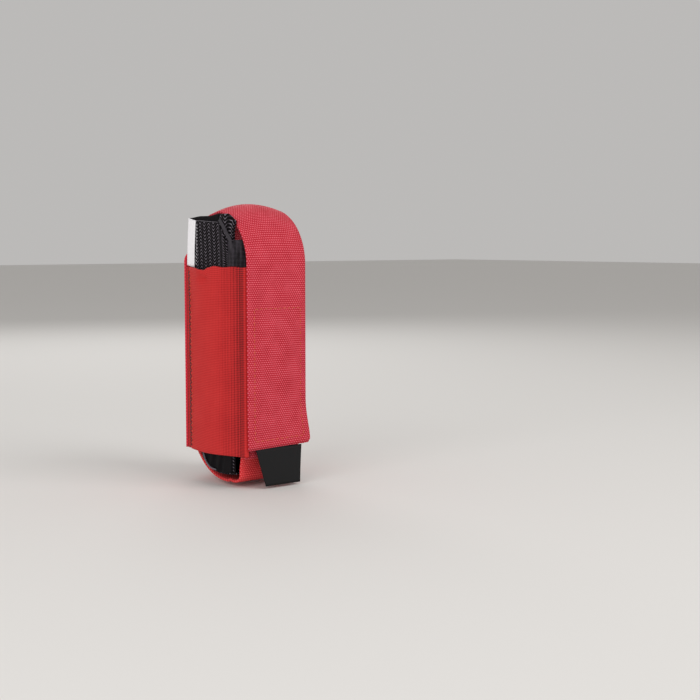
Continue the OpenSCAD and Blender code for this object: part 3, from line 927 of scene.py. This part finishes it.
def strip_warp(at, x, run):
    """The strip leans forward with the fold it lies on, and its rear edge turns in a little."""
    up = (at.z - strip_low.z) / (strip_high.z - strip_low.z)
    front = x / strip_w + 0.5
    low = STRIP_CORNERS[0].lerp(STRIP_CORNERS[1], front)
    high = STRIP_CORNERS[2].lerp(STRIP_CORNERS[3], front)
    turn = 0.5 * (1 - front) ** 2 - 0.2 * math.sin(up * 3.0)
    return low.lerp(high, up) + Vector((turn, 0, 0))


strip_path = upright(strip_x, strip_mid, strip_low.z, strip_high.z, 1.5)
strip = ribbon("time_strap_cloth", strip_path, (0, -1, 0), strip_w, 0.6, WHITE_STRIP, 14, strip_warp)
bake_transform(strip)
settle(strip, None, "white_strip", "time_strap")

pad_low, pad_high = box("clip_hook_pad")
pad_path = upright(pad_low.x + 0.3, (pad_low.y + pad_high.y) / 2, pad_low.z, pad_high.z, 2.0)
pad = ribbon("clip_hook_pad_cloth", pad_path, (0, 1, 0), pad_high.y - pad_low.y, 0.6, HOOKS, 8)
settle(pad, "tourniquet", "black_band", "clip_hook_pad")

PLY_REAR, PLY_FRONT = -11.6, -46.0
PLY_TOP = 77.6
ply_mid = (PLY_REAR + PLY_FRONT) / 2
ply_path = upright(OUTER_X, ply_mid, 36, PLY_TOP, 1.2)


def ply_warp(at, x, run):
    """The outer ply stands off the fold behind it at its top, which slopes down under the tape."""
    at = Vector(at)
    high = smooth(40, PLY_TOP, at.z)
    at.x -= 0.5 * hump(at.y, -24, 12) * high + 0.6 * smooth(60, PLY_TOP, at.z)
    at.z += high * (0.057 * (at.y + 24) - 1.35 * max(0.0, -38.0 - at.y))
    return at


ply = ribbon("band_outer_ply", ply_path, (0, 1, 0), PLY_REAR - PLY_FRONT, 0.7, HERRINGBONE, 30, ply_warp)
settle(ply, "tourniquet", "black_band")
selvage = [ply_warp(Vector((OUTER_X - 0.1, y, PLY_TOP + 0.1)), 0, 0) for y in range(-14, -39, -2)]
settle(tubes("ply_selvage_thread", [selvage], 0.2, GREY_THREAD), "tourniquet", "thread")

# Near-black sheet at the tall fold's top, seen above the outer ply: painted shade standing for the shadowed
# gap there
SHADE_SHEET_REAR, SHADE_SHEET_FRONT = -7.6, -38.0
shade_sheet_mid = (SHADE_SHEET_REAR + SHADE_SHEET_FRONT) / 2
shade_sheet_path = upright(LOBE_X - 0.45, shade_sheet_mid, 66, BAND_TOP, 1.2)


def shade_sheet_warp(at, x, run):
    """The sheet's upper edge follows the tall fold's."""
    at = Vector(at)
    high = smooth(66, BAND_TOP, at.z)
    at.z += high * (profile(FOLD_RISE, at.y) + 0.15)
    at.x -= 0.15 * high
    return at


shade_sheet = ribbon("band_fold_shade_sheet", shade_sheet_path, (0, 1, 0), SHADE_SHEET_REAR - SHADE_SHEET_FRONT, 0.5, SHADE_SHEET, 20,
                shade_sheet_warp)
settle(shade_sheet, "tourniquet", "grey_tape")

tape_points = [Vector((OUTER_X + x, y, z)) for x, y, z in (
    (0.3, -36.4, 79.5), (-0.6, -39.4, 77.5), (-1.1, -43.5, 74.0), (-1.0, -46.6, 70.2), (-0.8, -49.0, 67.3),
    (0.2, -48.8, 63.0), (0.8, -49.0, 56.0))]
tape_path = curve_through(tape_points, 5)
TAPE_W = 2.7        # width of the narrow tension tape; too narrow to be declared as a sheet
tape = ribbon("tension_tape_cloth", tape_path, (0, 0.84, -0.54), TAPE_W, 0.5, GREY_TAPE, 6)
settle(tape, "tourniquet", "grey_tape", "tension_tape")

# Smooth strap round the clip's shoulder, beside the outer fold
KEEPER_TOP = 67.6
KEEPER_LOW = 42.0
keeper_points = [Vector((x, y, (KEEPER_TOP + KEEPER_LOW) / 2)) for x, y in (
    (-21.7, -45.6), (-21.5, -48.6), (-20.8, -51.4), (-19.2, -53.9), (-16.4, -54.9), (-13.0, -55.0))]
keeper_path = curve_through(keeper_points, 7)
keeper_len = lengths(keeper_path)[-1]


def keeper_warp(at, x, run):
    """Folds run down the strap, and the end of its upper edge reaches back over the band."""
    at = Vector(at)
    free = 1 - run / keeper_len
    tongue = smooth(59.0, KEEPER_TOP, at.z) * free ** 3
    at.y += 5.5 * tongue
    at.z -= 2.2 * tongue
    folds = smooth(0.95, 0.6, free) * smooth(0.15, 0.4, free) * smooth(KEEPER_TOP, 60, at.z)
    at.x -= 0.9 * folds * math.sin(run * 2.7)
    return at


keeper = ribbon("clip_keeper_strap", keeper_path, (0, 0, -1), KEEPER_TOP - KEEPER_LOW, 0.8, BLACK_TAPE, 24,
                keeper_warp)
settle(keeper, "tourniquet", "grey_tape")
# its middle line, following the folds
keeper_cut = [keeper_warp(at, 0, run) for at, run in zip(keeper_path, lengths(keeper_path))]

core_low, core_high = box("tape_core")
CORE_W = 24
CORE_T = 0.8
core_path = upright(core_low.x + CORE_T / 2, BAND_Y, core_low.z, core_high.z, 3.0)
core = ribbon("tape_core_cloth", core_path, (0, 1, 0), CORE_W, CORE_T, GREY_TAPE, 10)
settle(core, "tourniquet", "grey_tape", "tape_core")

end_low, end_high = box("band_end_tab")
end_path = upright((end_low.x + end_high.x) / 2, BAND_Y, end_low.z, end_high.z, 2.0)
end_tab = ribbon("band_end_tab_cloth", end_path, (0, 1, 0), end_high.y - end_low.y, 0.8, GREY_TAPE, 10)
settle(end_tab, "tourniquet", "grey_tape", "band_end_tab")

# V-shaped white thread beside the strip
zigzag = []
for i in range(13):
    z = 53.6 + i * 1.8
    edge = -12.9 - 0.115 * (z - 52)
    zigzag.append([ply_warp(Vector((OUTER_X - 0.6, edge - aside, z + rise)), 0, 0)
                   for aside, rise in ((0.2, 0.75), (1.9, 0.0), (0.2, -0.75))])
settle(tubes("white_edge_stitching", zigzag, 0.32, WHITE_THREAD), "tourniquet", "thread")

# Near-black cover over the folds, painted shade for the shadow inside the bottom loop, and a grey thread on
# their bottom edge
COVER_ROUND = 4.5   # how far the cover reaches round the folds' front edges
band_front = BAND_FRONT + 0.1


def cover_warp(at, x, run):
    """The cover is a little wavy, lies flat and tucks in at its front, and goes round the front edges."""
    past = max(0.0, band_front - at.y)
    at = band_warp(Vector((at.x, max(at.y, band_front), at.z)), x, run)
    at.x -= 0.05 + 0.25 * math.sin(0.8 * at.y + 0.25 * at.z) * smooth(-42, -36, at.y)
    at.x += 0.8 * smooth(-47.4, -49.2, at.y) + max(0.0, past - 0.3)
    at.y -= min(past, 0.3)
    return at


COVER_W = BAND_W + COVER_ROUND
cover_y = BAND_Y - COVER_ROUND / 2
cover_path = upright(LOBE_X - 0.3, cover_y, -42, BAND_LOW - 0.6, 0.8)
shade_cover = ribbon("band_bottom_shade_cover", cover_path, (0, 1, 0), COVER_W, 0.3, SHADE_SHEET, 60, cover_warp)
settle(shade_cover, "tourniquet", "grey_tape")
# painted highlight: the thread's light grey stands for the gloss on the folds' bottom edges
highlight_thread_points = [Vector((LOBE_X - 0.9, y, z)) for y, z in (
    (-19.4, -47), (-19.9, -52), (-22.2, -57), (-27.0, -60.2), (-33.0, -60.9))]
settle(tubes("band_bottom_highlight_thread", [curve_through(highlight_thread_points, 6)], 0.45, GREY_THREAD, 8), "tourniquet",
       "thread")

# ---- Stitching on the pouch ----


def wall_point(side, y, z, proud=0.0):
    """A point on the outer face of an elastic side panel."""
    at = Vector((side * elastic_wall(y), y, z))
    at = elastic_warp(side)(at, z, 0)
    return at + Vector((side * (ELASTIC_T / 2 + proud), 0, 0))


for label, side in (("left", -1), ("right", 1)):
    legs = []
    steps = 60
    for i in range(steps):
        z0 = -PANEL_H + 2 + i * (2 * PANEL_H - 4) / steps
        z1 = z0 + (2 * PANEL_H - 4) / steps
        y0, y1 = (-7.4, -10.6) if i % 2 else (-10.6, -7.4)
        legs.append([wall_point(side, y0 + (y1 - y0) * t, z0 + (z1 - z0) * t, rise)
                     for t, rise in ((0.05, -0.1), (0.3, 0.18), (0.7, 0.18), (0.95, -0.1))])
    settle(tubes(label + "_rear_zigzag", legs, 0.32, DARK_THREAD), "pouch", "thread")
    seam_line = [wall_point(side, -11.6, z) for z in range(-49, 48, 2)]
    beside = stitch_lines(seam_line, (side, 0, 0), 1.2, 1.0, 0.2)
    settle(tubes(label + "_side_seam", beside, 0.2, WARM_THREAD), "pouch", "thread")

# bar tacks: two rows of upright legs on the strap's anchor, and two columns of level legs on the row's ends
tacks = []
for z in (48.2, 56.2):
    for k in range(22):
        x = -10.5 + k
        tacks.append([Vector((x + along, STRAP_T + rise, z + up)) for along, rise, up in (
            (0, -0.1, -0.9), (0.15, 0.35, -0.4), (0.3, 0.35, 0.4), (0.45, -0.1, 0.9))])
for side in (-1, 1):
    for k in range(20):
        z = row_mid - 9.5 + k
        tacks.append([Vector((side * 17.5 + along, y, z + up)) for along, y, up in (
            (-0.9, 0.9, 0), (-0.4, 1.3, 0.12), (0.4, 1.3, 0.3), (0.9, 0.9, 0.42))])
settle(tubes("bartack_threads", tacks, 0.32, RED_THREAD), "pouch", "thread", "sewn_bartacks")

hem = [Vector((2.0 - BACK_W / 2, 0.05, -49.5 + 4 * i)) for i in range(26)]
hem_right = [Vector((-p.x, p.y, p.z)) for p in hem]
edge_stitches = []
for line in (hem, hem_right):
    edge_stitches += stitch_lines(line, (0, 1, 0), 2.4, 1.0, 0.15)
settle(tubes("back_panel_stitching", edge_stitches, 0.2, RED_THREAD), "pouch", "thread")

front_hem = [front_warp(Vector((x, front_low.y - 0.02, front_low.z + 2.0)), x, 0)
             for x in range(-17, 18, 2)]
hem_stitches = stitch_lines(front_hem, (0, -1, 0), 2.2, 0.9, 0.16)
settle(tubes("front_hem_stitching", hem_stitches, 0.2, RED_THREAD), "pouch", "thread")

# ---- Floor, light and camera ----

FLOOR_GAP = 0.0015  # how far the floor lies below the CAD parts, in metres
FLOOR_Z = cad_low.z - FLOOR_GAP
floor_mesh = bpy.data.meshes.new("floor")
ROOM = 6.0
floor_mesh.from_pydata([(-ROOM, -ROOM, FLOOR_Z), (ROOM, -ROOM, FLOOR_Z), (ROOM, ROOM, FLOOR_Z),
                        (-ROOM, ROOM, FLOOR_Z)], [], [(0, 1, 2, 3)])
floor = add_object("floor", floor_mesh)
pale = bpy.data.materials.new("pale_floor")
pale.use_nodes = True
pale_inputs = pale.node_tree.nodes["Principled BSDF"].inputs
pale_inputs["Base Color"].default_value = colour("#dcdad7")
pale_inputs["Roughness"].default_value = 0.9
floor_mesh.materials.append(pale)

world = bpy.data.worlds.new("studio")
world.use_nodes = True
sky = world.node_tree.nodes["Background"].inputs
sky["Color"].default_value = colour("#e8e6e4")
sky["Strength"].default_value = 0.62
bpy.context.scene.world = world
bpy.context.scene.view_settings.view_transform = "Standard"

CENTRE = Vector((0, -0.03, 0.01))


def softbox(name, place, size, power):
    """A square area light that faces the object."""
    data = bpy.data.lights.new(name, "AREA")
    data.size = size
    data.energy = power
    lamp = add_object(name, data)
    lamp.location = CENTRE + Vector(place)
    lamp.rotation_mode = "QUATERNION"
    lamp.rotation_quaternion = (-Vector(place)).to_track_quat("-Z", "Y")


softbox("key", (0.35, -0.9, 0.75), 0.7, 5.5)
softbox("fill", (-1.0, -0.5, 0.35), 0.9, 6.2)
softbox("rear", (0.4, 0.9, 0.7), 0.8, 3.5)

# The camera, in metres: how far back, right and up it stands from the Z axis at the flap's lower edge
CAMERA_BACK, CAMERA_RIGHT, CAMERA_UP = 0.738243, 0.078489, 0.04927
AZIMUTH = math.radians(-39.15)
ELEVATION = math.radians(5.0)
back = Vector((math.sin(AZIMUTH) * math.cos(ELEVATION), -math.cos(AZIMUTH) * math.cos(ELEVATION),
               math.sin(ELEVATION)))
right = Vector((math.cos(AZIMUTH), math.sin(AZIMUTH), 0))
up = back.cross(right)
camera_data = bpy.data.cameras.new("camera")
camera_data.sensor_width = 36
camera_data.lens = 64.3
camera_data.clip_start = 0.05
camera = add_object("camera", camera_data)
camera.location = back * CAMERA_BACK + right * CAMERA_RIGHT + up * CAMERA_UP + Vector((0, 0, FLAP_LOW * MM))
camera.rotation_mode = "QUATERNION"
camera.rotation_quaternion = (-back).to_track_quat("-Z", "Y")
bpy.context.scene.camera = camera
